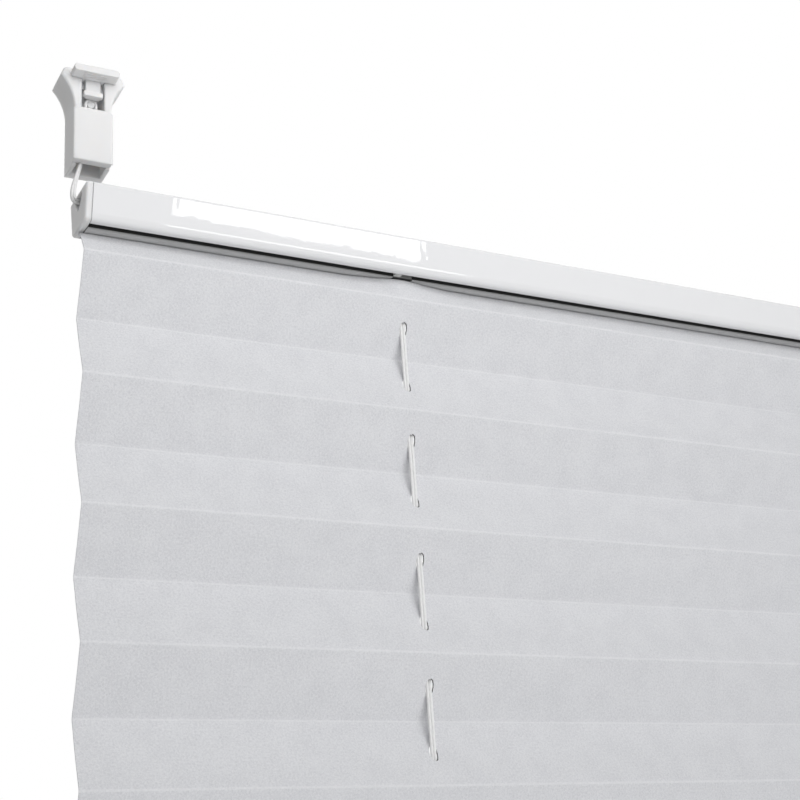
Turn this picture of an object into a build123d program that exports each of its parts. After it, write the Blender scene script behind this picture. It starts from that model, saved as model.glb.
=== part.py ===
from build123d import *
import math
import os

# Pleated blind with two sliding rails on tensioned cords, millimetres.
# X runs along the rails, Y goes back to the window, Z is up.
# The origin lies between the screw holes of the two upper shoes, on the window face.

# Whole blind
blind_width = 600.0  # over the end caps
cord_plane = 9.5  # middle of the cloth and its cords, in front of the window face
column_inset = 103.8  # cord column from the outside of the near end cap
cut_overrun = 1.0  # how far a cut runs past the face that it leaves
fit_gap = 0.15  # between a piece and the pocket that it drops into

# Cloth
pleat_count = 26
pleat_face = 20.0  # cloth from one fold to the next
pleat_depth = 7.2  # from the front folds to the back folds
cloth_thickness = 0.4
cloth_side_gap = 0.8  # cloth edge inside the outer face of the end cap
tab_fold = 0.8  # fold under the strip, behind the cord plane
tab_rear = 2.6  # end of the glued tab, behind the cord plane
half_face_drop = 7.2  # from the fold under the strip down to the first front fold
hole_width = 2.6
hole_height = 4.6
hole_side = 2.6  # straight side of the hole, which is an oval with few sides
fold_notch_depth = 2.0  # cord notch through the fold under the strip, along Y
fold_notch_drop = 4.2

# Rail, an extrusion with a slot along its cloth side
rail_top_width = 17.0
rail_slot_side_width = 13.0
rail_height = 11.8
rail_wall = 1.1
rail_slot_width = 9.2
rail_top_round = 0.8
rail_edge_round = 1.5

# Strip that holds the cloth in the slot
strip_flange_width = 10.6
strip_flange_thickness = 0.8
strip_foot_width = 5.2
strip_foot_proud = 0.3  # foot stands this far out of the slot

# End cap
cap_plate = 2.0
cap_spigot_length = 8.0
cap_rim_edge = 0.5
cap_hole_width = 8.6  # cord outlet, wide above and pointed below
cap_hole_top = 10.9
cap_hole_point = 5.0
cap_hole_corner = 1.2  # cut off each corner

# Cord, two strands side by side
strand_diameter = 0.9
strand_spacing = 1.0
strand_flat = 1.1  # flat part of the doubled cord's front, between its rounded edges
lane_offset = 1.6  # each cord runs this far beside the cord plane in the rails
lane_shift_length = 33.0
lane_shift_lead = 10.0
rail_cord_height = 9.5  # above the slot side of the rail
turn_radius = 3.0  # over the saddle of the cord guide
bend_radius = 60.0
strand_sides = 6

# Cord guide
guide_length = 10.0
guide_width = 8.6
guide_bore_gap = 0.3
guide_spout_length = 6.6
guide_rib = 2.3
saddle_gap = 0.1

# Tension shoe
shoe_inset = 3.9  # shoe centre from the outside of the end cap
shoe_gap = 9.8  # between the rail and the shoe
shoe_tunnel_gap = 0.15  # between the cord and the front wall of the tunnel
shoe_height = 31.5
shoe_body_width = 11.2
shoe_neck_height = 18.0
shoe_tip_width = 19.3
shoe_tip_height = 28.7
shoe_top_width = 17.6
shoe_corner_round = 2.0
shoe_edge = 0.4
shoe_back_wall = 2.5
shoe_front_wall = 2.0
shoe_front_rise = 0.6  # front wall stops this far above the foot
shoe_slot_width = 7.0
shoe_slot_floor = 18.6
shoe_tunnel_width = 8.8  # below the slot
panel_width = 11.9
panel_height = 18.3
panel_rise = 0.6
panel_corner = 0.7
panel_edge = 0.3
pocket_width = 9.8  # pocket for the lugs of the hook
pocket_depth = 3.3
pocket_floor = 26.0
screw_height = 24.5
screw_radius = 1.75

# Tension hook
bar_width = 13.6
bar_thickness = 2.1
bar_reach = 4.2
bar_corner = 0.5
bar_underside = 28.3
bar_rib_length = 7.0
bar_rib_width = 0.5
bar_rib_height = 0.25
bar_rib_count = 3
bar_rib_pitch = 1.0
stem_width = 4.45
stem_thickness = 1.7
stem_setback = 0.2
flange_width = 5.6
flange_height = 1.5
flange_foot = 22.7
flange_proud = 0.4
flange_thickness = 1.6
tongue_width = 4.6  # hangs behind the stem and carries the pin
tongue_thickness = 1.5
pin_radius = 1.1
pin_drop = 1.4  # pin centre below the foot of the flange
pin_length = 1.3
bight_round = 1.5

# Cord between shoe and end cap
bow_out = 1.0  # how far the cord swings out past the end cap
bow_rise = 5.4
bow_radius = 1.5
exit_lean = 2.9  # cord leaves the tunnel this far off its middle
exit_radius = 8.0
join_height = 14.0  # where the two strands come together in the tunnel

# Worked out from the sizes above
half_width = blind_width / 2
pleat_pitch = 2 * math.sqrt(pleat_face**2 - pleat_depth**2)
column_x = half_width - column_inset
shoe_x = -half_width + shoe_inset
shoe_foot_z = -screw_height
rail_top_z = shoe_foot_z - shoe_gap
rail_slot_z = rail_top_z - rail_height
tab_z = rail_slot_z - strip_foot_proud - cloth_thickness / 2
first_fold_z = tab_z - half_face_drop
last_fold_z = first_fold_z - pleat_count * pleat_pitch
middle_z = (first_fold_z + last_fold_z) / 2
pair_width = strand_diameter + strand_spacing
lane_y = lane_offset - cord_plane
shoe_depth = -lane_y + strand_diameter / 2 + shoe_tunnel_gap + shoe_front_wall
rail_cord_z = rail_slot_z + rail_cord_height
strip_top = rail_wall + strip_flange_thickness
middle_plane = Plane.XY.offset(middle_z)

os.makedirs("parts", exist_ok=True)


def save(builder, name):
    builder.part.label = name
    export_step(builder.part, f"parts/{name}.step")


def section_plane(x):
    # Seen along X, with the cord plane and the slot side of the upper rail as its axes.
    return Plane(origin=(x, -cord_plane, rail_slot_z), x_dir=(0, 1, 0), z_dir=(1, 0, 0))


def shoe_plane(forward):
    # Seen from the front, standing on the foot of the upper left shoe.
    return Plane(origin=(shoe_x, -forward, shoe_foot_z), x_dir=(1, 0, 0), z_dir=(0, -1, 0))


def rail_outline(plane, inset=0, floor=0):
    # The rail's section, or its inside when there is an inset, cut off below the floor.
    with BuildSketch(plane) as outline:
        with BuildLine():
            Polyline(
                (-rail_slot_side_width / 2, 0),
                (rail_slot_side_width / 2, 0),
                (rail_top_width / 2, rail_height),
                (-rail_top_width / 2, rail_height),
                close=True,
            )
        make_face()
        if inset:
            offset(amount=-inset, mode=Mode.REPLACE)
            with Locations((0, floor)):
                Rectangle(
                    rail_top_width,
                    rail_height,
                    align=(Align.CENTER, Align.MIN),
                    mode=Mode.INTERSECT,
                )
        else:
            fillet(outline.vertices().group_by(Axis.Y)[0], radius=rail_edge_round)
            fillet(outline.vertices().group_by(Axis.Y)[-1], radius=rail_top_round)
    return outline.sketch


def doubled_cord_section(plane):
    # Two strands side by side as one section, wide along the plane's X.
    with BuildSketch(plane) as section:
        with BuildLine():
            Polyline(
                (-pair_width / 2, 0),
                (-strand_flat / 2, -strand_diameter / 2),
                (strand_flat / 2, -strand_diameter / 2),
                (pair_width / 2, 0),
                (strand_flat / 2, strand_diameter / 2),
                (-strand_flat / 2, strand_diameter / 2),
                close=True,
            )
        make_face()
    return section.sketch


def miter(points, distance):
    # Moves a run of points sideways, so that each stretch keeps its distance.
    moved = []
    for index, point in enumerate(points):
        before = point - points[index - 1] if index else points[1] - point
        after = points[index + 1] - point if index + 1 < len(points) else before
        normals = [Vector(-leg.Y, leg.X).normalized() for leg in (before, after)]
        middle = (normals[0] + normals[1]).normalized()
        moved.append(point + middle * (distance / middle.dot(normals[0])))
    return moved


# Upper rail
rail_section = rail_outline(section_plane(0))
rail_inside = rail_outline(section_plane(0), rail_wall, rail_wall)
with BuildPart() as rail:
    extrude(rail_section, amount=half_width - cap_plate - fit_gap, both=True)
    extrude(rail_inside, amount=half_width, both=True, mode=Mode.SUBTRACT)
    with BuildSketch(section_plane(0)):
        Rectangle(rail_slot_width, 2 * (rail_wall + cut_overrun))
    extrude(amount=half_width, both=True, mode=Mode.SUBTRACT)

# Strip in the slot, with an opening at each cord guide
strip_length = blind_width - 2 * cap_plate - 2 * fit_gap
with BuildPart() as strip:
    with BuildSketch(section_plane(0)):
        with Locations((0, rail_wall)):
            Rectangle(
                strip_flange_width, strip_flange_thickness, align=(Align.CENTER, Align.MIN)
            )
        with Locations((0, -strip_foot_proud)):
            Rectangle(
                strip_foot_width, strip_foot_proud + strip_top, align=(Align.CENTER, Align.MIN)
            )
    extrude(amount=strip_length / 2, both=True)
    with BuildSketch(Plane.XY.offset(rail_slot_z - strip_foot_proud)):
        with Locations((-column_x, -cord_plane), (column_x, -cord_plane)):
            Rectangle(guide_spout_length + 2 * fit_gap, strip_foot_width + 2 * fit_gap)
    extrude(amount=strip_foot_proud + strip_top, mode=Mode.SUBTRACT)

# Left end cap, a plate with a spigot and a pointed cord outlet
cap_outline = rail_outline(section_plane(-half_width))
spigot_plane = section_plane(-half_width + cap_plate)
spigot_outline = rail_outline(spigot_plane, rail_wall + fit_gap, strip_top + fit_gap)
with BuildPart() as cap:
    extrude(cap_outline, amount=cap_plate)
    chamfer(cap.faces().sort_by(Axis.X)[0].edges(), length=cap_rim_edge)
    extrude(spigot_outline, amount=cap_spigot_length)
    with BuildSketch(section_plane(-half_width)) as outlet:
        with BuildLine():
            Polyline(
                (0, cap_hole_point),
                (cap_hole_width / 2, cap_hole_top),
                (-cap_hole_width / 2, cap_hole_top),
                close=True,
            )
        make_face()
        chamfer(outlet.vertices(), length=cap_hole_corner)
    extrude(amount=cap_plate + cap_spigot_length, mode=Mode.SUBTRACT)

# Cord guide at the right column, for the cord that comes from the left
guide_plane = Plane(origin=(column_x, -cord_plane, rail_slot_z), x_dir=(1, 0, 0), z_dir=(0, -1, 0))
saddle_radius = turn_radius - pair_width / 2 - saddle_gap
saddle_centre = rail_cord_height - turn_radius
bore_half = pair_width / 2 + guide_bore_gap
with BuildPart() as guide:
    with BuildSketch(guide_plane):
        with BuildLine():
            Polyline(
                (-guide_length / 2, strip_top),
                (guide_length / 2, strip_top),
                (guide_length / 2, saddle_centre),
                (-turn_radius + saddle_radius, saddle_centre),
            )
            CenterArc((-turn_radius, saddle_centre), saddle_radius, 0, 90)
            Polyline(
                (-turn_radius, saddle_centre + saddle_radius),
                (-guide_length / 2, saddle_centre + saddle_radius),
                (-guide_length / 2, strip_top),
            )
        make_face()
    extrude(amount=guide_width / 2, both=True)
    with BuildSketch(Plane.XY.offset(rail_slot_z)):
        with Locations((column_x, -cord_plane)):
            Rectangle(guide_spout_length, strip_foot_width)
            with Locations(((guide_spout_length - guide_rib) / 2, 0)):
                Rectangle(guide_rib, rail_slot_width - 2 * fit_gap)
    extrude(amount=rail_wall)
    with BuildSketch(Plane.XY.offset(rail_slot_z + rail_wall)):
        with Locations((column_x, -cord_plane)):
            Rectangle(guide_spout_length, strip_foot_width)
    extrude(amount=strip_flange_thickness)
    with BuildSketch(Plane.XY.offset(rail_slot_z)):
        with Locations((column_x, -cord_plane)):
            Rectangle(2 * bore_half, strand_diameter + 2 * guide_bore_gap)
    extrude(amount=rail_height, mode=Mode.SUBTRACT)

# Upper left tension shoe
with BuildPart() as shoe:
    with BuildSketch(shoe_plane(0)) as goblet:
        with BuildLine():
            side = Line((shoe_body_width / 2, 0), (shoe_body_width / 2, shoe_neck_height))
            flare = TangentArc(side @ 1, (shoe_tip_width / 2, shoe_tip_height), tangent=side % 1)
            Polyline(flare @ 1, (shoe_top_width / 2, shoe_height), (0, shoe_height))
            Line((0, 0), side @ 0)
            mirror(about=Plane.YZ)
        make_face()
        fillet(goblet.vertices().group_by(Axis.Y)[-1], radius=shoe_corner_round)
    extrude(amount=shoe_depth)
    chamfer(shoe.faces().sort_by(Axis.Y)[0].edges(), length=shoe_edge)
    with BuildSketch(shoe_plane(shoe_depth)) as panel:
        with Locations((0, panel_height / 2)):
            Rectangle(panel_width, panel_height)
        chamfer(panel.vertices(), length=panel_corner)
    extrude(amount=panel_rise)
    chamfer(shoe.faces().sort_by(Axis.Y)[0].edges(), length=panel_edge)
    with BuildSketch(shoe_plane(shoe_depth - shoe_front_wall)):
        Rectangle(shoe_tip_width, 2 * shoe_front_rise)
    extrude(amount=shoe_front_wall + panel_rise, mode=Mode.SUBTRACT)
    with BuildSketch(shoe_plane(shoe_back_wall)):
        with Locations((0, shoe_slot_floor)):
            Rectangle(shoe_slot_width, shoe_height, align=(Align.CENTER, Align.MIN))
    extrude(amount=shoe_depth, mode=Mode.SUBTRACT)
    with BuildSketch(shoe_plane(shoe_back_wall)):
        with Locations((0, -cut_overrun)):
            Rectangle(
                shoe_tunnel_width, shoe_slot_floor + cut_overrun, align=(Align.CENTER, Align.MIN)
            )
    extrude(amount=shoe_depth - shoe_back_wall - shoe_front_wall, mode=Mode.SUBTRACT)
    with BuildSketch(shoe_plane(shoe_depth - shoe_front_wall - pocket_depth)):
        with Locations((0, pocket_floor)):
            Rectangle(pocket_width, shoe_height, align=(Align.CENTER, Align.MIN))
    extrude(amount=pocket_depth, mode=Mode.SUBTRACT)
    with Locations(shoe_plane(shoe_back_wall)):
        with Locations((0, screw_height)):
            Hole(radius=screw_radius, depth=shoe_back_wall)

# Tension hook: finger bar, lugs that hang in the shoe, stem, flange, and cord pin on its tongue
lug_depth = pocket_depth - 2 * fit_gap
lug_back = shoe_depth - shoe_front_wall - pocket_depth + fit_gap
bar_back = shoe_depth + fit_gap
stem_back = shoe_depth - stem_setback - stem_thickness
flange_back = shoe_depth + flange_proud - flange_thickness
tongue_front = lug_back + tongue_thickness
pin_height = flange_foot - pin_drop
tongue_foot = pin_height - tongue_width / 2
with BuildPart() as hook:
    with BuildSketch(shoe_plane(bar_back)) as bar_face:
        with Locations((0, bar_underside + bar_thickness / 2)):
            Rectangle(bar_width, bar_thickness)
        chamfer(bar_face.vertices(), length=bar_corner)
    extrude(amount=bar_reach)
    with BuildSketch(shoe_plane(lug_back)):
        with Locations((0, bar_underside)):
            Rectangle(
                shoe_slot_width - 2 * fit_gap, bar_thickness, align=(Align.CENTER, Align.MIN)
            )
    extrude(amount=bar_back - lug_back)
    with BuildSketch(shoe_plane(lug_back)):
        with Locations((0, pocket_floor)):
            Rectangle(
                pocket_width - 2 * fit_gap,
                bar_underside - pocket_floor,
                align=(Align.CENTER, Align.MIN),
            )
    extrude(amount=lug_depth)
    with BuildSketch(shoe_plane(lug_back)):
        with Locations((0, tongue_foot)):
            Rectangle(
                tongue_width, pocket_floor - tongue_foot, align=(Align.CENTER, Align.MIN)
            )
    extrude(amount=tongue_thickness)
    with BuildSketch(shoe_plane(stem_back)):
        with Locations((0, flange_foot)):
            Rectangle(
                stem_width, bar_underside - flange_foot, align=(Align.CENTER, Align.MIN)
            )
    extrude(amount=stem_thickness)
    with BuildSketch(shoe_plane(flange_back)):
        with Locations((0, flange_foot)):
            Rectangle(flange_width, flange_height, align=(Align.CENTER, Align.MIN))
    extrude(amount=flange_thickness)
    with BuildSketch(shoe_plane(tongue_front)):
        with Locations((0, pin_height)):
            Circle(pin_radius)
    extrude(amount=pin_length)
    with BuildSketch(Plane.XY.offset(shoe_foot_z + bar_underside - bar_rib_height)):
        with Locations((shoe_x, -bar_back - bar_reach / 2)):
            with GridLocations(0, bar_rib_pitch, 1, bar_rib_count):
                Rectangle(bar_rib_length, bar_rib_width)
    extrude(amount=bar_rib_height)

# Cord from the hook to the left end cap: a bight over the pin, then both strands together
cord_view = Plane(origin=(0, lane_y, 0), x_dir=(1, 0, 0), z_dir=(0, -1, 0))
bight_half = pin_radius + 2 * fit_gap + strand_diameter / 2
bight_top = shoe_foot_z + pin_height + bight_half
join_z = shoe_foot_z + join_height
with BuildLine(cord_view) as run:
    FilletPolyline(
        (shoe_x, join_z),
        (shoe_x - exit_lean, shoe_foot_z),
        (-half_width - bow_out, rail_cord_z + bow_rise),
        (-half_width - bow_out, rail_cord_z),
        (-half_width + cap_plate, rail_cord_z),
        radius=[exit_radius, exit_radius, bow_radius],
    )
run_start = Plane(origin=run.line @ 0, x_dir=(run.line % 0).cross(Vector(0, 1, 0)), z_dir=run.line % 0)
run_section = doubled_cord_section(run_start)
with BuildPart() as end_cord:
    sweep(run_section, path=run.line)
    with BuildLine(cord_view) as bight:
        FilletPolyline(
            (shoe_x - strand_spacing / 2, join_z),
            (shoe_x - bight_half, bight_top),
            (shoe_x + bight_half, bight_top),
            (shoe_x + strand_spacing / 2, join_z),
            radius=bight_round,
        )
    with BuildSketch(Plane(origin=bight.line @ 0, z_dir=bight.line % 0)):
        RegularPolygon(strand_diameter / 2, strand_sides)
    sweep(path=bight.line)


def rail_cord(way):
    # Cord inside the upper rail, from one end cap to the guide of the far column.
    # The way is 1 from the left cap and -1 from the right cap, which changes lanes first.
    near = -way * (half_width - cap_plate)
    turn_x = way * (column_x - turn_radius)
    lane = -cord_plane + way * lane_offset
    points = [(near, lane_y)]
    if lane != lane_y:
        points.append((near + way * lane_shift_lead, lane_y))
        points.append((near + way * (lane_shift_lead + lane_shift_length), lane))
    points.append((turn_x - way * (lane_shift_lead + lane_shift_length), lane))
    points.append((turn_x - way * lane_shift_lead, -cord_plane))
    points.append((turn_x, -cord_plane))
    with BuildLine(Plane.XY.offset(rail_cord_z)) as lanes:
        FilletPolyline(*points, radius=bend_radius)
    turn_plane = Plane(
        origin=(turn_x, -cord_plane, rail_cord_z), x_dir=(way, 0, 0), z_dir=(0, -way, 0)
    )
    with BuildLine(turn_plane) as turn:
        RadiusArc((0, 0), (turn_radius, -turn_radius), turn_radius)
        Line((turn_radius, -turn_radius), (turn_radius, -rail_cord_height))
    lane_section = doubled_cord_section(Plane(lanes.line @ 0, x_dir=(0, 0, 1), z_dir=(way, 0, 0)))
    turn_section = doubled_cord_section(Plane(turn.line @ 0, x_dir=(0, 0, 1), z_dir=(way, 0, 0)))
    with BuildPart() as cord:
        sweep(lane_section, path=lanes.line)
        sweep(turn_section, path=turn.line)
    return cord


# Cord of one column, straight through the holes of the cloth
column_drop = 2 * (rail_slot_z - middle_z)
column_section = doubled_cord_section(Plane((column_x, -cord_plane, rail_slot_z)))
with BuildPart() as column_cord:
    extrude(column_section, amount=-column_drop)

# Cloth: a tab under each strip, a half face, and the full pleats between
cloth_width = blind_width - 2 * cloth_side_gap
folds = [Vector(tab_rear, tab_z), Vector(tab_fold, tab_z)]
for index in range(2 * pleat_count + 1):
    side_sign = 1 if index % 2 else -1
    folds.append(Vector(side_sign * pleat_depth / 2, first_fold_z - index * pleat_pitch / 2))
tab_low_z = 2 * middle_z - tab_z
folds += [Vector(tab_fold, tab_low_z), Vector(tab_rear, tab_low_z)]
cloth_plane = Plane(origin=(0, -cord_plane, 0), x_dir=(0, 1, 0), z_dir=(1, 0, 0))
with BuildPart() as cloth:
    with BuildSketch(cloth_plane):
        with BuildLine():
            near_side = miter(folds, cloth_thickness / 2)
            far_side = miter(folds, -cloth_thickness / 2)
            Polyline(*near_side, *reversed(far_side), close=True)
        make_face()
    extrude(amount=cloth_width / 2, both=True)
    with BuildSketch(Plane.XZ):
        for index in range(2 * pleat_count):
            hole_z = first_fold_z - (index + 0.5) * pleat_pitch / 2
            with Locations((-column_x, hole_z), (column_x, hole_z)):
                Polygon(
                    (0, hole_height / 2),
                    (-hole_width / 2, hole_side / 2),
                    (-hole_width / 2, -hole_side / 2),
                    (0, -hole_height / 2),
                    (hole_width / 2, -hole_side / 2),
                    (hole_width / 2, hole_side / 2),
                )
    extrude(amount=2 * cord_plane, mode=Mode.SUBTRACT)
    for notch_z, notch_way in ((tab_z + cloth_thickness, -1), (tab_low_z - cloth_thickness, 1)):
        with BuildSketch(Plane.XY.offset(notch_z)):
            with Locations((-column_x, -cord_plane), (column_x, -cord_plane)):
                Rectangle(hole_width, fold_notch_depth)
        extrude(amount=notch_way * fold_notch_drop, mode=Mode.SUBTRACT)
save(cloth, "pleated_cloth")

for name, side_plane in (("right", None), ("left", Plane.YZ)):
    with BuildPart() as column_copy:
        if side_plane:
            mirror(column_cord.part, about=side_plane)
        else:
            add(column_cord.part)
    save(column_copy, f"{name}_column_cord")

# Pieces of the upper rail, and the same pieces mirrored for the lower rail
left_cord = rail_cord(1)
right_cord = rail_cord(-1)
for name, piece in (
    ("rail", rail),
    ("cloth_strip", strip),
    ("rail_left_cord", left_cord),
    ("rail_right_cord", right_cord),
):
    save(piece, f"top_{name}")
    with BuildPart() as lower_copy:
        mirror(piece.part, about=middle_plane)
    save(lower_copy, f"bottom_{name}")

# Pieces at the corners: each is made once and mirrored to the other three
for name, piece, made_left in (
    ("end_cap", cap, True),
    ("cord_guide", guide, False),
    ("shoe", shoe, True),
    ("tension_hook", hook, True),
    ("end_cord", end_cord, True),
):
    for side in ("left", "right"):
        with BuildPart() as upper_copy:
            if (side == "left") == made_left:
                add(piece.part)
            else:
                mirror(piece.part, about=Plane.YZ)
        save(upper_copy, f"top_{side}_{name}")
        with BuildPart() as lower_copy:
            mirror(upper_copy.part, about=middle_plane)
        save(lower_copy, f"bottom_{side}_{name}")
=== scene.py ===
import math

import bpy
from mathutils import Euler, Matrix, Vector, noise


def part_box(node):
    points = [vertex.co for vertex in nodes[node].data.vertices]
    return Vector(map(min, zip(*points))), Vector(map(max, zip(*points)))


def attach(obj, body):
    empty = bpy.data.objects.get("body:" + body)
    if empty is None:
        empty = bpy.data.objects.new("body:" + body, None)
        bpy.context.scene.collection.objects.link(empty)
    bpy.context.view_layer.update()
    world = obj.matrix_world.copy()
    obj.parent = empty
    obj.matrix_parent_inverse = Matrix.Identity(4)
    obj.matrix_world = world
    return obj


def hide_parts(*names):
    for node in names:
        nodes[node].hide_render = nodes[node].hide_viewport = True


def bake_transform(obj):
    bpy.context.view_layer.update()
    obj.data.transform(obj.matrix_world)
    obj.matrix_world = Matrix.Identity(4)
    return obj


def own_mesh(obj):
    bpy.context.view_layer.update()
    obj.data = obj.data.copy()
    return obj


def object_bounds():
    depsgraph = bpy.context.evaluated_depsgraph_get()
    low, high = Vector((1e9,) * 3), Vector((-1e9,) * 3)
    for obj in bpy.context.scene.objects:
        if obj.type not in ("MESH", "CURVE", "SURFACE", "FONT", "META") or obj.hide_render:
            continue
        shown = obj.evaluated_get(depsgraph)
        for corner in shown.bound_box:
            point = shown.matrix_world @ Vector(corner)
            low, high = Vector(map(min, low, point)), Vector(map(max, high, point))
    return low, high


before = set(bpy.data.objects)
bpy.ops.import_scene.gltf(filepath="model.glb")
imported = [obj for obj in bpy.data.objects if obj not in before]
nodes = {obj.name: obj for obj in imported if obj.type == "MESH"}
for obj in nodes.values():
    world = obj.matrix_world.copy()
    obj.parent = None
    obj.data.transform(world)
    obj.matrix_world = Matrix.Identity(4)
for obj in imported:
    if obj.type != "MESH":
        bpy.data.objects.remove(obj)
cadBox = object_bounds()
scene = bpy.context.scene
mm = 0.001
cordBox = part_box("right_column_cord")
cordMiddle = (cordBox[0] + cordBox[1]) / 2
print("frame loaded,", len(nodes), "nodes")


class Wire:
    # a socket that does sums and makes the nodes round it
    def __init__(self, tree, socket=None):
        self.tree = tree
        self.socket = socket

    def make(self, kind, settings=None, sockets=None, out=0):
        node = self.tree.nodes.new("ShaderNode" + kind)
        for key, value in (settings or {}).items():
            if key == "stops":
                ramp = node.color_ramp
                while len(ramp.elements) < len(value):
                    ramp.elements.new(1.0)
                for stop, (place, colour) in zip(ramp.elements, value):
                    stop.position = place
                    stop.color = (*colour, 1)
            else:
                setattr(node, key, value)
        for key, value in (sockets or {}).items():
            if isinstance(value, Wire):
                self.tree.links.new(value.socket, node.inputs[key])
            else:
                node.inputs[key].default_value = value
        return Wire(self.tree, node.outputs[out] if node.outputs else None)

    def other(self, name):
        # another output of the same node
        return Wire(self.tree, self.socket.node.outputs[name])

    def sum(self, operation, first, second):
        return self.make("Math", {"operation": operation}, {0: first, 1: second})

    def __add__(self, other):
        return self.sum("ADD", self, other)

    def __radd__(self, other):
        return self.sum("ADD", other, self)

    def __sub__(self, other):
        return self.sum("SUBTRACT", self, other)

    def __rsub__(self, other):
        return self.sum("SUBTRACT", other, self)

    def __mul__(self, other):
        return self.sum("MULTIPLY", self, other)

    def __rmul__(self, other):
        return self.sum("MULTIPLY", other, self)

    def __gt__(self, other):
        return self.sum("GREATER_THAN", self, other)

    def __lt__(self, other):
        return self.sum("LESS_THAN", self, other)

    def __abs__(self):
        return self.make("Math", {"operation": "ABSOLUTE"}, {0: self})


def startFinish(name):
    material = bpy.data.materials.new(name)
    material.use_nodes = True
    material.node_tree.nodes.clear()
    return material, Wire(material.node_tree)


def endFinish(wire, sockets):
    shader = wire.make("BsdfPrincipled", None, sockets)
    wire.make("OutputMaterial", None, {"Surface": shader})


def speckle(wire, place, size, detail=2.0):
    # noise about one lump per size, from 0 to 1
    return wire.make("TexNoise", {"noise_dimensions": "3D"},
                     {"Vector": place, "Scale": 1 / size, "Detail": detail})


def tint(wire, share, low, high):
    # from low to high, each a colour or a wire
    ends = [end if isinstance(end, Wire) else (*end, 1) for end in (low, high)]
    return wire.make("Mix", {"data_type": "RGBA"}, {"Factor": share, "A": ends[0], "B": ends[1]}, out=2)


def relief(wire, strength, deep, height, under=None):
    # bump, on top of another normal where there is one
    sockets = {"Strength": strength, "Distance": deep, "Height": height}
    if under:
        sockets["Normal"] = under
    return wire.make("Bump", None, sockets)


# finish of the coated rail; its inside is painted nearly black, painted shade for the dark hollow
railCoat = {
    "white": (0.775, 0.778, 0.79), "shade": (0.76, 0.763, 0.775), "inside": (0.035, 0.035, 0.035), "ior": 1.5,
    "mottleSize": 9 * mm, "roughness": 0.012, "mottleRough": 0.01, "insideRough": 0.6,
    "slotHalf": 6.5 * mm, "flare": 2.0 * mm,  # the section, to tell what is inside
    "wall": 1.02 * mm, "lip": 0.25 * mm, "skin": 0.5 * mm,
    "peel": 0.004, "peelDeep": 0.1 * mm, "peelSize": 2.2 * mm,
    "wave": 0.012, "waveDeep": 1 * mm, "waveSize": 16 * mm,
    "ripple": 0.012 * mm, "rippleLong": 8 * mm, "rippleShort": 2.5 * mm,
    "edgeLow": 0.4 * mm, "edgeHigh": 2.7 * mm, "edgeDrop": 0.285 * mm,  # the face leans in above the slot
}


def railFinish(node):
    material, wire = startFinish(node + "Coat")
    low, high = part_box(node)
    tall = high.z - low.z
    slotSide = low.z if node == "top_rail" else high.z
    place = wire.make("NewGeometry")
    across = wire.make("SeparateXYZ", None, {"Vector": place}, out="Y")
    height = abs(across.other("Z") - slotSide)  # above the slot side
    halfWidth = railCoat["slotHalf"] + height * (railCoat["flare"] / tall) - railCoat["wall"]
    between = abs(across - (low.y + high.y) / 2) < halfWidth
    # painted shade: the rail's inside, above the lip and below the skin, takes a near-black colour
    inner = between * (height > railCoat["lip"]) * (height < tall - railCoat["skin"])
    mottle = speckle(wire, place, railCoat["mottleSize"])
    coat = tint(wire, mottle, railCoat["shade"], railCoat["white"])
    lean = wire.make("MapRange", {"interpolation_type": "SMOOTHSTEP"},
                     {"Value": height, "From Min": railCoat["edgeLow"], "From Max": railCoat["edgeHigh"]})
    edge = relief(wire, 1.0, railCoat["edgeDrop"], lean)
    waves = speckle(wire, place, railCoat["waveSize"], 0.0)
    wave = relief(wire, railCoat["wave"], railCoat["waveDeep"], waves, edge)
    long = 1 / railCoat["rippleLong"]
    short = 1 / railCoat["rippleShort"]
    along = wire.make("VectorMath", {"operation": "MULTIPLY"}, {0: place, 1: (short, long, long)})
    ripple = relief(wire, 1.0, railCoat["ripple"], speckle(wire, along, 1.0, 1.0), wave)
    peels = speckle(wire, place, railCoat["peelSize"], 1.0)
    peel = relief(wire, railCoat["peel"], railCoat["peelDeep"], peels, ripple)
    rough = railCoat["roughness"] + railCoat["mottleRough"] * mottle + railCoat["insideRough"] * inner
    endFinish(wire, {
        "Base Color": tint(wire, inner, coat, railCoat["inside"]),
        "Roughness": rough, "Normal": peel, "IOR": railCoat["ior"]})
    return material


# finishes of the moulded pieces
moulded = {
    "white": (0.80, 0.80, 0.805), "shade": (0.775, 0.775, 0.775), "ior": 1.46,
    "flowSize": 5 * mm, "roughness": 0.38, "flowRough": 0.12,
    "grain": 0.05, "grainDeep": 0.1 * mm, "grainSize": 0.35 * mm, "edge": 0.8 * mm, "edgeSamples": 6,
    "soft": 1.0, "softDeep": 1.6 * mm, "softTint": (1.0, 0.95, 0.9),
}
hookWhite = {**moulded, "edge": 0.35 * mm, "softDeep": 0.8 * mm}  # thin ribs stay crisp
# the cord guides: the body is painted nearly black, painted shade for the rail's shadow, and the rib in front
# is painted lighter, painted light
guideShadeAndLight = {
    **moulded, "white": (0.07, 0.07, 0.07), "shade": (0.06, 0.06, 0.06), "roughness": 0.5,
    "grain": 0.08, "grainSize": 0.5 * mm, "edge": 0.2 * mm, "soft": 0.0,
    "lit": (0.55, 0.55, 0.54), "litFrom": 2.3 * mm, "litTo": 2.8 * mm,  # the rib stands in front
}
# the cloth strips: their own grey, with painted light that makes them lighter towards the back and painted
# shade that makes them nearly black above the slot side
stripGreyShadeAndLight = {
    **moulded, "white": (0.40, 0.40, 0.40), "shade": (0.35, 0.35, 0.35), "roughness": 0.6,
    "grain": 0.08, "grainSize": 0.5 * mm, "edge": 0.1 * mm, "soft": 0.0,
    "lit": (0.74, 0.74, 0.74), "litFrom": 2.6 * mm, "litTo": -0.4 * mm,  # lighter at the back
    "inside": (0.035, 0.035, 0.035), "lip": 0.05 * mm,
}


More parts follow.
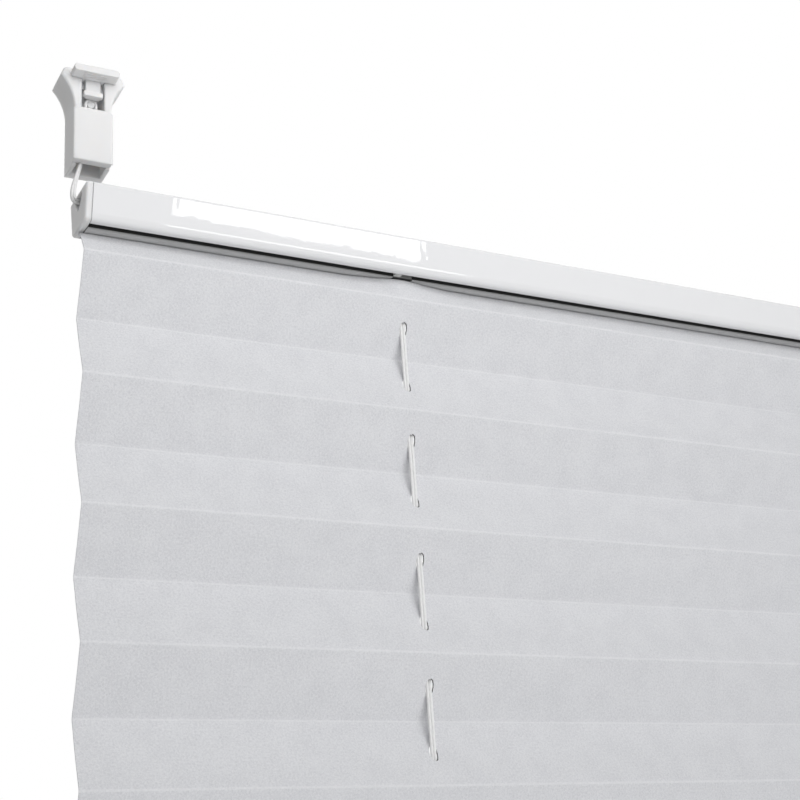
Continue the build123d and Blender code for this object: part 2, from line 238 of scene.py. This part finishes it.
def mouldedFinish(name, look, slotSide=None, way=1):
    material, wire = startFinish(name)
    place = wire.make("NewGeometry")
    flow = speckle(wire, place, look["flowSize"], 3.0)
    colour = tint(wire, flow, look["shade"], look["white"])
    back = wire.make("SeparateXYZ", None, {"Vector": place}, out="Y")
    # painted light: the colour is made lighter towards one side of the cord plane
    if "lit" in look:  # lighter towards one side of the cord plane
        glow = wire.make("MapRange", None, {"Value": cordMiddle.y - back,
                                            "From Min": look["litFrom"], "From Max": look["litTo"]})
        colour = tint(wire, glow, colour, look["lit"])
    if slotSide is not None:  # dark above the slot side, in the rail's shade
        within = (back.other("Z") - slotSide) * way > -look["lip"]
        colour = tint(wire, within, colour, look["inside"])
    rounded = wire.make("Bevel", {"samples": look["edgeSamples"]}, {"Radius": look["edge"]})
    grain = speckle(wire, place, look["grainSize"])
    endFinish(wire, {
        "Base Color": colour, "Roughness": look["roughness"] + look["flowRough"] * flow, "IOR": look["ior"],
        "Normal": relief(wire, look["grain"], look["grainDeep"], grain, rounded),
        "Subsurface Weight": look["soft"], "Subsurface Radius": look["softTint"],
        "Subsurface Scale": look["softDeep"]})
    return material


# finish of the braided cords
braid = {
    "white": (0.81, 0.81, 0.81), "gap": (0.77, 0.77, 0.77), "lay": 0.9 * mm, "bands": 0.32, "twist": 1.0,
    "fuzzSize": 0.25 * mm, "fuzzShare": 0.3, "bump": 0.08, "bumpDeep": 0.08 * mm,
    "roughness": 0.75, "fuzzRough": 0.15, "gloss": 0.3,
}


def braidFinish():
    material, wire = startFinish("cordBraid")
    place = wire.make("NewGeometry")
    lay = wire.make("TexWave", {"wave_type": "BANDS", "bands_direction": "DIAGONAL"},
                    {"Vector": place, "Scale": braid["bands"] / braid["lay"], "Distortion": braid["twist"],
                     "Detail": 1.0}, out="Fac")
    fuzz = speckle(wire, place, braid["fuzzSize"])
    plait = lay * (1 - braid["fuzzShare"]) + fuzz * braid["fuzzShare"]
    endFinish(wire, {
        "Base Color": tint(wire, plait, braid["gap"], braid["white"]),
        "Roughness": braid["roughness"] + braid["fuzzRough"] * fuzz,
        "Normal": relief(wire, braid["bump"], braid["bumpDeep"], plait),
        "Specular IOR Level": braid["gloss"]})
    return material


plasticWhite = mouldedFinish("mouldedWhite", moulded)
plasticHook = mouldedFinish("hookWhite", hookWhite)
plasticGuideShadeAndLight = mouldedFinish("guideShadeAndLight", guideShadeAndLight)
cordBraid = braidFinish()


def dress(obj, material):
    obj.data.materials.clear()
    obj.data.materials.append(material)


for name, obj in nodes.items():
    if name in ("top_rail", "bottom_rail"):
        dress(obj, railFinish(name))
    elif name == "top_cloth_strip":
        dress(obj, mouldedFinish(name + "Grey", stripGreyShadeAndLight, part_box("top_rail")[0].z, 1))
    elif name == "bottom_cloth_strip":
        dress(obj, mouldedFinish(name + "Grey", stripGreyShadeAndLight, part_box("bottom_rail")[1].z, -1))
    elif name.endswith("cord_guide"):
        dress(obj, plasticGuideShadeAndLight)
    elif name.endswith("cord"):
        dress(obj, cordBraid)
    elif name.endswith("hook"):
        dress(obj, plasticHook)
    elif name != "pleated_cloth":
        dress(obj, plasticWhite)
print("finishes on", len(nodes), "nodes")


def newPiece(name, points, faces, material):
    mesh = bpy.data.meshes.new(name)
    mesh.from_pydata(points, [], faces)
    mesh.materials.append(material)
    mesh.update()
    for face in mesh.polygons:
        face.use_smooth = True
    obj = bpy.data.objects.new(name, mesh)
    scene.collection.objects.link(obj)
    return obj


# the pleated cloth, made flat and then folded, in two halves that meet at the middle front fold
pleats = {
    "halfFaces": 26, "face": 20.0 * mm, "depth": 7.2 * mm, "thickness": 0.35 * mm, "crispAngle": 60,
    "topGap": 0.2 * mm, "tabFold": 0.8 * mm, "tabRear": 2.6 * mm, "halfDrop": 7.2 * mm,
    "foldRound": 0.7 * mm, "bow": 0.22 * mm,
    "ripple": 0.12 * mm, "rippleSize": 70 * mm, "rippleDown": 30 * mm, "rippleLeg": 1.7, "liftSeed": 9,
    "calmTop": 20 * mm, "calmEnd": 2 * mm, "calmLeast": 0.2,  # less ripple where the cloth is held
    "pushed": 2.7 * mm, "pushWide": 10 * mm,  # the guides push the top edge forward
    "holeWide": 2.5 * mm, "holeHigh": 4.9 * mm, "patchWide": 2.6 * mm, "patchHigh": 4.4 * mm,
    "gridStep": 12 * mm, "gridClear": 4, "patchLess": 0.99, "rowLean": 1 * mm,
    "alongFace": (0.35, 0.8, 1.6, 3.2, 5.6, 7.8, 10.0, 12.2, 14.4, 16.8, 18.4, 19.2, 19.65),  # mm
    "alongTab": (0.04, 0.08, 0.17, 0.26, 0.4, 0.6, 0.8, 0.92),
    "acrossHole": (-3.4, -2.6, -2, -1.5, -1, -0.5, 0, 0.5, 1, 1.5, 2, 2.6, 3.4),  # patch widths
    "patchSteps": (-1, -0.5, 0, 0.5, 1), "ringShares": (0.5, 0.85, 1.0),
}
# its finish
crepe = {
    "thread": (0.71, 0.715, 0.735), "threadAt": 0.62, "gap": (0.60, 0.605, 0.63), "gapAt": 0.32,
    "size": 0.55 * mm, "detail": 3.0, "fine": 0.6, "twist": 0.6, "broad": 0.06, "broadShare": 0.2,
    "bump": 0.7, "bumpDeep": 0.12 * mm, "roughness": 0.92, "crinkleRough": 0.1,
    "sheen": 0.15, "sheenRough": 0.5, "gloss": 0.2,
    "rim": (0.10, 0.10, 0.10), "rimShare": 0.3,  # shade in the open side of the holes
    # painted highlight: the lighter colour of a line along each fold
    "foldHighlight": (0.78, 0.785, 0.80), "foldHighlightWide": 0.3 * mm, "foldHighlightShare": 0.35,
}
clothLow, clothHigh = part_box("pleated_cloth")
middleZ = (clothLow.z + clothHigh.z) / 2
columns = (-cordMiddle.x, cordMiddle.x)


def foldLine():
    tabZ = clothHigh.z - pleats["topGap"]
    first = tabZ - pleats["halfDrop"]
    step = (first - middleZ) / pleats["halfFaces"]
    line = [(pleats["tabRear"], tabZ), (pleats["tabFold"], tabZ)]
    for index in range(pleats["halfFaces"] + 1):
        side = 1 if index % 2 else -1
        line.append((side * pleats["depth"] / 2, first - index * step))
    return [Vector((y + cordMiddle.y, z)) for y, z in line]


line = foldLine()
legs = [(b - a).length for a, b in zip(line, line[1:])]
starts = [sum(legs[:leg]) for leg in range(len(legs) + 1)]  # along the flat cloth
faceLeg = 2  # the first leg that is a whole face


def clothFinish():
    material, wire = startFinish("crepeCloth")
    flat = wire.make("UVMap", {"uv_map": "flat"})
    crinkle = wire.make("TexNoise", {"noise_dimensions": "2D"},
                        {"Vector": flat, "Scale": 1.0, "Detail": crepe["detail"], "Roughness": crepe["fine"],
                         "Distortion": crepe["twist"]})
    broad = wire.make("TexNoise", {"noise_dimensions": "2D"},
                      {"Vector": flat, "Scale": crepe["broad"], "Detail": 2.0})
    share = crinkle * (1 - crepe["broadShare"]) + broad * crepe["broadShare"]
    stops = [(crepe["gapAt"], crepe["gap"]), (crepe["threadAt"], crepe["thread"])]
    colour = wire.make("ValToRGB", {"stops": stops}, {"Fac": share})
    down = wire.make("SeparateXYZ", None, {"Vector": flat}, out="Y") * crepe["size"]
    away = wire.make("Math", {"operation": "PINGPONG"},
                     {0: abs(down) - starts[faceLeg], 1: pleats["face"] / 2})  # from the nearest fold
    # painted highlight: a lighter line along each fold
    colour = tint(wire, (away < crepe["foldHighlightWide"]) * crepe["foldHighlightShare"], colour, crepe["foldHighlight"])
    shaded = wire.make("Attribute", {"attribute_name": "rim"}, out="Fac") > crepe["rimShare"]
    endFinish(wire, {
        "Base Color": tint(wire, shaded, colour, crepe["rim"]),
        "Roughness": crepe["roughness"] - crepe["crinkleRough"] * crinkle,
        "Normal": relief(wire, crepe["bump"], crepe["bumpDeep"], crinkle),
        "Sheen Weight": crepe["sheen"], "Sheen Roughness": crepe["sheenRough"],
        "Specular IOR Level": crepe["gloss"]})
    return material


def onLine(leg, along):
    return line[leg].lerp(line[leg + 1], along / legs[leg])


def folded(leg, along):
    # rounds the folds, bows the faces a little
    reach = pleats["foldRound"]
    spot = onLine(leg, along)
    for fold, away in ((leg, along), (leg + 1, along - legs[leg])):
        if abs(away) < reach and 0 < fold < len(line) - 1:
            share = (away + reach) / (2 * reach)
            before = onLine(fold - 1, legs[fold - 1] - reach)
            after = onLine(fold, reach)
            spot = before * (1 - share) ** 2 + line[fold] * (2 * share * (1 - share)) + after * share ** 2
    direction = (line[leg + 1] - line[leg]).normalized()
    swell = pleats["bow"] * math.sin(math.pi * along / legs[leg]) ** 2 if leg >= faceLeg else 0
    return spot + Vector((-direction.y, direction.x)) * swell * (1 if leg % 2 else -1)


def gridAcross():
    halfWide = clothHigh.x
    count = round(2 * halfWide / pleats["gridStep"])
    xs = {-halfWide + 2 * halfWide * i / count for i in range(count)} | {halfWide}
    for column in columns:
        xs = {x for x in xs if abs(x - column) > pleats["gridClear"] * pleats["patchWide"]}
        xs |= {column + pleats["patchWide"] * share for share in pleats["acrossHole"]}
    return sorted(xs)


def gridDown():
    rows = []  # (leg, along)
    for leg in range(len(legs)):
        rows.append((leg, 0.0))
        if leg >= faceLeg:
            rows += [(leg, along * mm) for along in pleats["alongFace"]]
        elif leg == 1:
            rows += [(leg, legs[leg] * share) for share in pleats["alongTab"]]
        else:
            rows.append((leg, legs[leg] / 2))
    rows.append((len(legs) - 1, legs[-1]))
    return rows


def inPatch(x, leg, along, share=1.0):
    # on the patch round a hole
    close = abs(along - legs[leg] / 2) < share * pleats["patchHigh"]
    return leg >= faceLeg and close and any(abs(x - c) < share * pleats["patchWide"] for c in columns)


def clothHalf(name, way, seed):
    xs = gridAcross()
    rows = gridDown()
    points, flat, faces, rims = [], [], [], []

    def place(x, leg, along):
        spot = folded(leg, along)
        down = starts[leg] + along
        calm = min(1.0, down / pleats["calmTop"])
        calm *= min(1.0, (starts[-1] - down) / pleats["calmEnd"] + pleats["calmLeast"])
        across = x / pleats["rippleSize"]
        sway = noise.noise(Vector((across, down / pleats["rippleDown"], seed)))
        lift = noise.noise(Vector((across, leg * pleats["rippleLeg"], seed + pleats["liftSeed"])))
        y = spot.x + pleats["ripple"] * sway * calm
        if leg < faceLeg:
            share = along / legs[0] if leg == 0 else 1 - along / legs[1]
            near = sum(math.exp(-((x - c) / pleats["pushWide"]) ** 2) for c in columns)
            y -= pleats["pushed"] * share * near
        z = spot.y + pleats["ripple"] * lift * calm
        points.append((x, y, z if way > 0 else 2 * middleZ - z))
        flat.append((x / crepe["size"], down * way / crepe["size"]))
        return len(points) - 1

    def quad(a, b, c, d):
        faces.append((a, b, c, d) if way > 0 else (d, c, b, a))

    grid = {}
    for row, (leg, along) in enumerate(rows):
        for col, x in enumerate(xs):
            if not inPatch(x, leg, along, pleats["patchLess"]):
                grid[row, col] = place(x, leg, along)
    for row in range(len(rows) - 1):
        for col in range(len(xs) - 1):
            corners = [(row, col), (row, col + 1), (row + 1, col + 1), (row + 1, col)]
            leg, along = rows[row]
            filled = inPatch((xs[col] + xs[col + 1]) / 2, leg, along + pleats["rowLean"])
            if not filled and all(c in grid for c in corners):
                quad(*(grid[c] for c in corners))

    # patches with an oval hole, in patch widths and heights
    steps = pleats["patchSteps"]
    border = [(a, -1) for a in steps[:-1]] + [(1, d) for d in steps[:-1]]
    border += [(a, 1) for a in steps[:0:-1]] + [(-1, d) for d in steps[:0:-1]]
    for leg in range(faceLeg, len(legs)):
        mid = legs[leg] / 2
        ownRows = [(row, along) for row, (other, along) in enumerate(rows) if other == leg]
        rowAt = {round((along - mid) / pleats["patchHigh"], 2): row for row, along in ownRows}
        for column in columns:
            colAt = {round((x - column) / pleats["patchWide"], 2): col for col, x in enumerate(xs)}
            rings = [[grid[rowAt[d], colAt[a]] for a, d in border]]
            for share in pleats["ringShares"]:
                ring = []
                for a, d in border:
                    turn = math.atan2(d, a)
                    ovalX = pleats["holeWide"] / 2 * math.cos(turn)
                    ovalZ = pleats["holeHigh"] / 2 * math.sin(turn)
                    ring.append(place(column + a * pleats["patchWide"] * (1 - share) + ovalX * share, leg,
                                      mid + d * pleats["patchHigh"] * (1 - share) + ovalZ * share))
                rings.append(ring)
            rims += [i for i, (a, d) in zip(rings[-1], border) if a * column < 0]  # open side of the cord
            for outer, inner in zip(rings, rings[1:]):
                for i in range(len(outer)):
                    j = (i + 1) % len(outer)
                    quad(outer[i], outer[j], inner[j], inner[i])

    obj = newPiece(name, points, faces, cloth)
    layer = obj.data.uv_layers.new(name="flat")
    for loop in obj.data.loops:
        layer.data[loop.index].uv = flat[loop.vertex_index]
    shade = obj.data.attributes.new("rim", "FLOAT", "POINT")
    for index in rims:
        shade.data[index].value = 1.0
    solid = obj.modifiers.new("thick", "SOLIDIFY")
    solid.thickness = pleats["thickness"]
    solid.offset = 0
    evaluated = obj.evaluated_get(bpy.context.evaluated_depsgraph_get())
    thick = bpy.data.meshes.new_from_object(evaluated)
    obj.modifiers.clear()
    obj.data = thick
    thick.set_sharp_from_angle(angle=math.radians(pleats["crispAngle"]))  # the cut edge stays crisp
    return obj


cloth = clothFinish()
for way, name, seed in ((1, "cloth_upper_half", 3.0), (-1, "cloth_lower_half", 17.0)):
    half = clothHalf(name, way, seed)
    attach(half, "fixings")
    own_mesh(half)
    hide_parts("pleated_cloth")

# two strands side by side in each column
strands = {
    "diameter": 0.94 * mm, "spacing": 0.94 * mm, "sides": 10, "step": 4 * mm,
    "sway": 0.03 * mm, "swaySeed": 9, "swaySize": 1 / 60,
}


def columnStrands(name, column, way):
    top = cordBox[1].z
    count = round((top - middleZ) / strands["step"])
    sides = strands["sides"]
    points, faces = [], []
    for strand in (-0.5, 0.5):
        base = len(points)
        for i in range(count + 1):
            z = top + (middleZ - top) * i / count
            sway = noise.noise(Vector((strand * strands["swaySeed"], z / strands["swaySize"], column)))
            middle = column + strand * strands["spacing"] + strands["sway"] * sway
            for s in range(sides):
                turn = 2 * math.pi * s / sides
                x = middle + strands["diameter"] / 2 * math.cos(turn)
                y = cordMiddle.y + strands["diameter"] / 2 * math.sin(turn)
                points.append((x, y, z if way > 0 else 2 * middleZ - z))
        for i in range(count):
            for s in range(sides):
                a = base + i * sides + s
                b = base + i * sides + (s + 1) % sides
                faces.append((a, a + sides, b + sides, b) if way > 0 else (a, b, b + sides, a + sides))
    return newPiece(name, points, faces, cordBraid)


for side, column in (("left", columns[0]), ("right", columns[1])):
    for way, part in ((1, "upper"), (-1, "lower")):
        pair = columnStrands(f"{side}_column_{part}_strands", column, way)
        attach(pair, "fixings")
        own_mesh(pair)
        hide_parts(f"{side}_column_cord")
print("column strands threaded")

# one strand from the cap's outlet over the hook's pin and back, upper left corner, route in mm
endLoop = {
    "diameter": 0.94 * mm, "smooth": 10, "rounding": 3,
    "route": [
        (-297.6, -7.6, -36.9), (-299.2, -7.7, -36.75), (-301.4, -7.9, -36.6), (-301.65, -8.2, -33.0),
        (-300.5, -8.3, -28.6), (-299.3, -8.35, -24.4), (-297.9, -8.2, -17.0), (-296.6, -7.9, -10.5),
        (-297.7, -7.9, -4.9), (-297.68, -7.9, -2.55), (-296.76, -7.9, -1.62), (-295.44, -7.9, -1.62),
        (-294.52, -7.9, -2.55), (-294.5, -7.9, -4.9), (-295.6, -7.9, -10.5), (-297.3, -7.5, -17.0),
        (-298.9, -7.4, -24.4), (-299.95, -7.4, -28.6), (-300.65, -7.6, -32.4), (-300.6, -7.8, -35.6),
        (-299.2, -7.8, -35.8), (-297.6, -7.6, -35.95),
    ],
    "plane": -7.9 * mm, "fixedBelow": -10.5 * mm, "movesBelow": -34.3 * mm,  # where it stretches
}


def endStrand(name, side, way):
    curve = bpy.data.curves.new(name, "CURVE")
    curve.dimensions = "3D"
    spline = curve.splines.new("NURBS")
    spline.points.add(len(endLoop["route"]) - 1)
    for point, (x, y, z) in zip(spline.points, endLoop["route"]):
        z = z * mm if way > 0 else 2 * middleZ - z * mm
        point.co = (x * mm * (1 if side == "left" else -1), y * mm, z, 1)
    spline.order_u = 3
    spline.use_endpoint_u = True
    spline.resolution_u = endLoop["smooth"]
    curve.bevel_depth = endLoop["diameter"] / 2
    curve.bevel_resolution = endLoop["rounding"]
    curve.use_fill_caps = True
    holder = bpy.data.objects.new(name + "_line", curve)
    scene.collection.objects.link(holder)
    mesh = bpy.data.meshes.new_from_object(holder.evaluated_get(bpy.context.evaluated_depsgraph_get()))
    bpy.data.objects.remove(holder)
    obj = bpy.data.objects.new(name, mesh)
    scene.collection.objects.link(obj)
    dress(obj, cordBraid)
    return obj


for part, way, body in (("top", 1, "upper_rail"), ("bottom", -1, "lower_rail")):
    for side in ("left", "right"):
        loop = endStrand(f"{part}_{side}_end_strand", side, way)
        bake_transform(loop)
        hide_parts(f"{part}_{side}_end_cord")
print("end strands looped over the pins")

# floor, light and camera
studio = {
    "floorZ": cadBox[0].z - 4 * mm, "floorHalf": 6.0,
    "floorLow": (0.80, 0.80, 0.80), "floorHigh": (0.82, 0.82, 0.82), "floorGrain": 50 * mm,
    "floorRough": 0.85, "floorPale": 0.28, "fill": 0.33,
    "lamps": [  # name, place, aim, roll, wide, high, watts, glossy
        ("front", (-0.245, -0.470, 0.150), (-0.240, -0.017, -0.050), 0.0, 0.36, 0.36, 1.54, False),
        ("side", (0.976, -1.458, 0.225), (-0.233, -0.017, -0.040), 0.0, 0.70, 0.70, 3.0, False),
        ("strip", (0.366, -1.450, 0.2835), (0.366, 0.0, 0.2835), -1.0, 0.37, 0.14, 1.20, True),
        ("edge", (0.225, -1.063, -0.090), (-0.187, -0.017, -0.040), 0.0, 0.33, 0.20, 1.0, True),
        ("bounce", (-0.150, -0.420, -0.930), (-0.220, -0.017, -0.040), 0.0, 0.40, 0.40, 1.75, False),
        ("back", (0.300, 1.500, 0.200), (0.000, 0.000, -0.500), 0.0, 1.00, 1.00, 14.0, False),
    ],
}
camera = {
    "at": (-403.146, -378.645, -244.152), "turn": (110.484, 3.843, -27.530),  # mm and degrees
    "lens": 65.754, "sensor": 36, "near": 10 * mm,
}


def seenRays(wire):
    # 1 where the camera sees it, straight or in a gloss
    path = wire.make("LightPath", out="Is Camera Ray")
    return path + path.other("Is Glossy Ray") + path.other("Is Transmission Ray")


def makeFloor():
    mesh = bpy.data.meshes.new("floor")
    corners = ((-1, -1), (1, -1), (1, 1), (-1, 1))
    points = [(x * studio["floorHalf"], y * studio["floorHalf"], studio["floorZ"]) for x, y in corners]
    mesh.from_pydata(points, [], [(0, 1, 2, 3)])
    floor = bpy.data.objects.new("floor", mesh)
    scene.collection.objects.link(floor)
    material, wire = startFinish("paleFloor")
    grain = speckle(wire, wire.make("NewGeometry"), studio["floorGrain"])
    pale = seenRays(wire) * studio["floorPale"]
    endFinish(wire, {
        "Base Color": tint(wire, grain, studio["floorLow"], studio["floorHigh"]),
        "Roughness": studio["floorRough"],
        "Emission Color": wire.make("CombineColor", None, {"Red": pale, "Green": pale, "Blue": pale}),
        "Emission Strength": 1.0})
    dress(floor, material)


def makeWorld():
    world = bpy.data.worlds.new("studio")
    scene.world = world
    world.use_nodes = True
    world.node_tree.nodes.clear()
    wire = Wire(world.node_tree)
    strength = seenRays(wire) * (1 - studio["fill"]) + studio["fill"]
    shader = wire.make("Background", None, {"Color": (1, 1, 1, 1), "Strength": strength})
    wire.make("OutputWorld", None, {"Surface": shader})


def makeLamps():
    for name, place, aim, roll, wide, high, watts, glossy in studio["lamps"]:
        lamp = bpy.data.lights.new(name, "AREA")
        lamp.shape = "RECTANGLE"
        lamp.size = wide
        lamp.size_y = high
        lamp.energy = watts
        obj = bpy.data.objects.new(name, lamp)
        scene.collection.objects.link(obj)
        obj.location = place
        facing = (Vector(place) - Vector(aim)).to_track_quat("Z", "Y")
        obj.rotation_euler = (facing @ Euler((0, 0, math.radians(roll))).to_quaternion()).to_euler()
        obj.visible_camera = False
        obj.visible_glossy = glossy


def makeCamera():
    data = bpy.data.cameras.new("photoCamera")
    data.sensor_fit = "HORIZONTAL"
    data.sensor_width = camera["sensor"]
    data.lens = camera["lens"]
    data.clip_start = camera["near"]
    obj = bpy.data.objects.new("photoCamera", data)
    scene.collection.objects.link(obj)
    obj.location = Vector(camera["at"]) * mm
    obj.rotation_euler = Euler([math.radians(turn) for turn in camera["turn"]], "XYZ")
    scene.camera = obj


makeFloor()
makeWorld()
makeLamps()
makeCamera()
scene.view_settings.view_transform = "Standard"
print("studio set")
